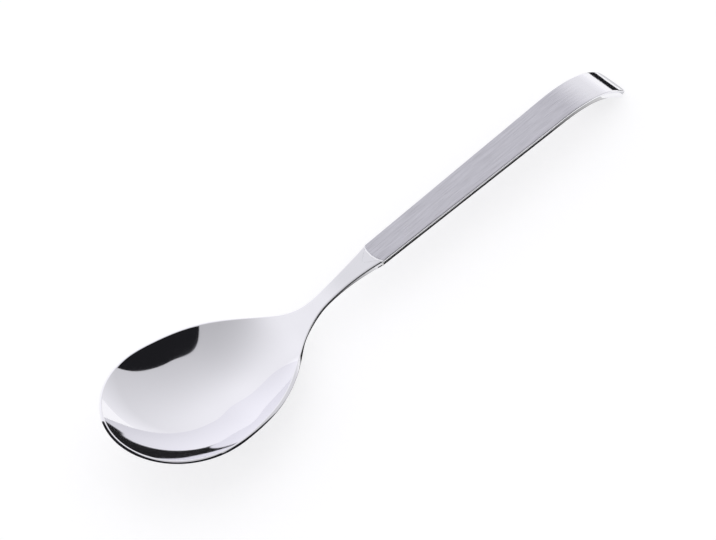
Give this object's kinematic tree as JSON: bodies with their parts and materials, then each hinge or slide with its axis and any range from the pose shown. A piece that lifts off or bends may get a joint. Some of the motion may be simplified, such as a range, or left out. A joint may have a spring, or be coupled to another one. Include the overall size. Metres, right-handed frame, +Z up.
{
  "type": "serving spoon",
  "caption": "Serving spoon with a deep polished bowl, a slim neck and a flat hollow handle in satin steel, bent down into a hook at its end.",
  "frame": {"origin": "middle of the small flat under the bowl, on the table that the spoon lies on", "axes": "+X from the bowl along the handle to the hook, +Y across to the left, +Z up out of the bowl"},
  "size_m": [0.3049, 0.0668, 0.0307],
  "materials": {
    "polished_steel": "mirror polished stainless steel",
    "satin_steel": "satin, brushed along the handle",
    "solder": "silver braze, polished flush",
    "cement": "cured handle filler"
  },
  "bodies": {
    "root": {"spoon_head": "polished_steel", "handle_upper_shell": "satin_steel", "handle_lower_shell": "polished_steel", "seam_solder": "solder", "mouth_solder": "solder", "tang_cement": "cement"}
  },
  "joints": []
}
